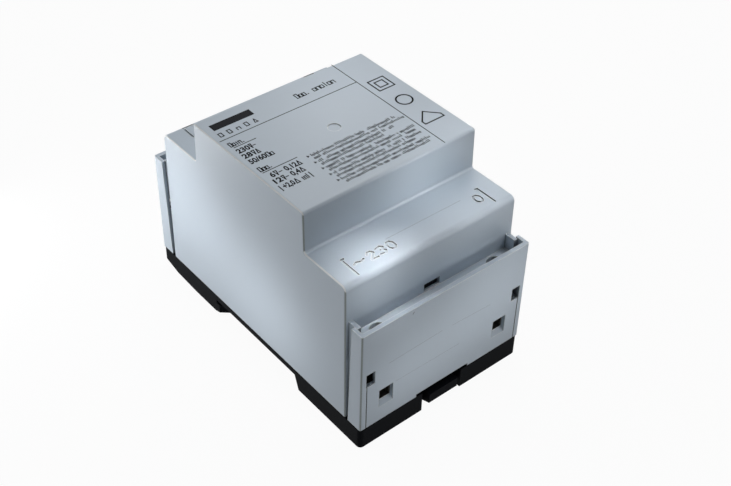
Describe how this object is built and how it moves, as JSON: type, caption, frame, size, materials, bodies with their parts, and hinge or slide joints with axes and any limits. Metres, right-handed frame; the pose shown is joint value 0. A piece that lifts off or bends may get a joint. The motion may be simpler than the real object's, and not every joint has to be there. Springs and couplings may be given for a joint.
{
  "type": "intercom power supply",
  "caption": "Rail-mounted intercom power supply: raised nose and stepped shoulders, slide-off terminal covers, black base with a sprung rail catch.",
  "frame": {"origin": "middle of the face of the base that lies on the rail", "axes": "+X along the rail, -Y towards the mains side and the rail catch, +Z away from the rail"},
  "size_m": [0.0534, 0.0885, 0.0604],
  "materials": {
    "grey_plastic": "satin moulded",
    "black_plastic": "satin moulded",
    "block_plastic": "matt moulded",
    "spring_steel": "drawn wire",
    "plated_steel": "zinc plated",
    "contact_brass": "stamped",
    "core_steel": "stacked sheets",
    "bobbin_plastic": "moulded",
    "winding_copper": "enamelled wire",
    "winding_tape": "film",
    "tinned_pins": "tinned",
    "sensor_coat": "dipped coating",
    "board_laminate": "laminate",
    "diode_body": "moulded",
    "capacitor_sleeve": "shrunk sleeve",
    "disc_coat": "dipped coating",
    "lead_insulation": "extruded sleeve"
  },
  "bodies": {
    "chassis": {"base": "black_plastic", "bobbin": "bobbin_plastic", "bobbin_pins": "tinned_pins", "capacitor": "capacitor_sleeve", "circuit_board": "board_laminate", "clip_spring": "spring_steel", "core_e_stack": "core_steel", "core_i_stack": "core_steel", "diode_1": "diode_body", "diode_2": "diode_body", "diode_3": "diode_body", "diode_4": "diode_body", "front_contact_1": "contact_brass", "front_contact_2": "contact_brass", "front_terminal_block": "block_plastic", "housing": "grey_plastic", "primary_lead_1": "lead_insulation", "primary_lead_2": "lead_insulation", "primary_tape": "winding_tape", "primary_winding": "winding_copper", "rear_contact_1": "contact_brass", "rear_contact_2": "contact_brass", "rear_contact_3": "contact_brass", "rear_contact_4": "contact_brass", "rear_terminal_block": "block_plastic", "resettable_fuse": "disc_coat", "secondary_tape": "winding_tape", "secondary_winding": "winding_copper", "thermal_fuse": "sensor_coat"},
    "rail_clip": {"rail_clip": "black_plastic"},
    "front_cover": {"front_cover": "grey_plastic"},
    "rear_cover": {"rear_cover": "grey_plastic"},
    "front_screw_1": {"front_screw_1": "plated_steel"},
    "front_clamp_1": {"front_clamp_1": "plated_steel"},
    "front_screw_2": {"front_screw_2": "plated_steel"},
    "front_clamp_2": {"front_clamp_2": "plated_steel"},
    "rear_screw_1": {"rear_screw_1": "plated_steel"},
    "rear_clamp_1": {"rear_clamp_1": "plated_steel"},
    "rear_screw_2": {"rear_screw_2": "plated_steel"},
    "rear_clamp_2": {"rear_clamp_2": "plated_steel"},
    "rear_screw_3": {"rear_screw_3": "plated_steel"},
    "rear_clamp_3": {"rear_clamp_3": "plated_steel"},
    "rear_screw_4": {"rear_screw_4": "plated_steel"},
    "rear_clamp_4": {"rear_clamp_4": "plated_steel"}
  },
  "joints": [
    {"name": "rail_clip_pull", "type": "slide", "parent": "chassis", "child": "rail_clip", "axis": [0, -1, 0], "range_m": [0, 0.0045], "stiffness_N_per_m": 900, "springref_m": -0.006, "deforming": ["clip_spring"]},
    {"name": "front_cover_slide", "type": "slide", "parent": "chassis", "child": "front_cover", "axis": [0, -1, 0], "range_m": [0, 0.006]},
    {"name": "rear_cover_slide", "type": "slide", "parent": "chassis", "child": "rear_cover", "axis": [0, 1, 0], "range_m": [0, 0.006]},
    {"name": "front_screw_1_turn", "type": "hinge", "parent": "chassis", "child": "front_screw_1", "pos_m": [-0.0188, -0.0406, 0.0203], "axis": [0, 0, -1], "range_deg": [0, 1650]},
    {"name": "front_clamp_1_lift", "type": "slide", "parent": "chassis", "child": "front_clamp_1", "axis": [0, 0, 1], "range_m": [0, 0.0032]},
    {"name": "front_screw_2_turn", "type": "hinge", "parent": "chassis", "child": "front_screw_2", "pos_m": [0.0188, -0.0406, 0.0203], "axis": [0, 0, -1], "range_deg": [0, 1650]},
    {"name": "front_clamp_2_lift", "type": "slide", "parent": "chassis", "child": "front_clamp_2", "axis": [0, 0, 1], "range_m": [0, 0.0032]},
    {"name": "rear_screw_1_turn", "type": "hinge", "parent": "chassis", "child": "rear_screw_1", "pos_m": [-0.0188, 0.0406, 0.0203], "axis": [0, 0, -1], "range_deg": [0, 1650]},
    {"name": "rear_clamp_1_lift", "type": "slide", "parent": "chassis", "child": "rear_clamp_1", "axis": [0, 0, 1], "range_m": [0, 0.0032]},
    {"name": "rear_screw_2_turn", "type": "hinge", "parent": "chassis", "child": "rear_screw_2", "pos_m": [-0.00627, 0.0406, 0.0203], "axis": [0, 0, -1], "range_deg": [0, 1650]},
    {"name": "rear_clamp_2_lift", "type": "slide", "parent": "chassis", "child": "rear_clamp_2", "axis": [0, 0, 1], "range_m": [0, 0.0032]},
    {"name": "rear_screw_3_turn", "type": "hinge", "parent": "chassis", "child": "rear_screw_3", "pos_m": [0.00627, 0.0406, 0.0203], "axis": [0, 0, -1], "range_deg": [0, 1650]},
    {"name": "rear_clamp_3_lift", "type": "slide", "parent": "chassis", "child": "rear_clamp_3", "axis": [0, 0, 1], "range_m": [0, 0.0032]},
    {"name": "rear_screw_4_turn", "type": "hinge", "parent": "chassis", "child": "rear_screw_4", "pos_m": [0.0188, 0.0406, 0.0203], "axis": [0, 0, -1], "range_deg": [0, 1650]},
    {"name": "rear_clamp_4_lift", "type": "slide", "parent": "chassis", "child": "rear_clamp_4", "axis": [0, 0, 1], "range_m": [0, 0.0032]}
  ],
  "couplings": [
    {"joint": "front_screw_1_turn", "follows": "front_clamp_1_lift", "rad_per_m": 8976},
    {"joint": "front_screw_2_turn", "follows": "front_clamp_2_lift", "rad_per_m": 8976},
    {"joint": "rear_screw_1_turn", "follows": "rear_clamp_1_lift", "rad_per_m": 8976},
    {"joint": "rear_screw_2_turn", "follows": "rear_clamp_2_lift", "rad_per_m": 8976},
    {"joint": "rear_screw_3_turn", "follows": "rear_clamp_3_lift", "rad_per_m": 8976},
    {"joint": "rear_screw_4_turn", "follows": "rear_clamp_4_lift", "rad_per_m": 8976}
  ]
}
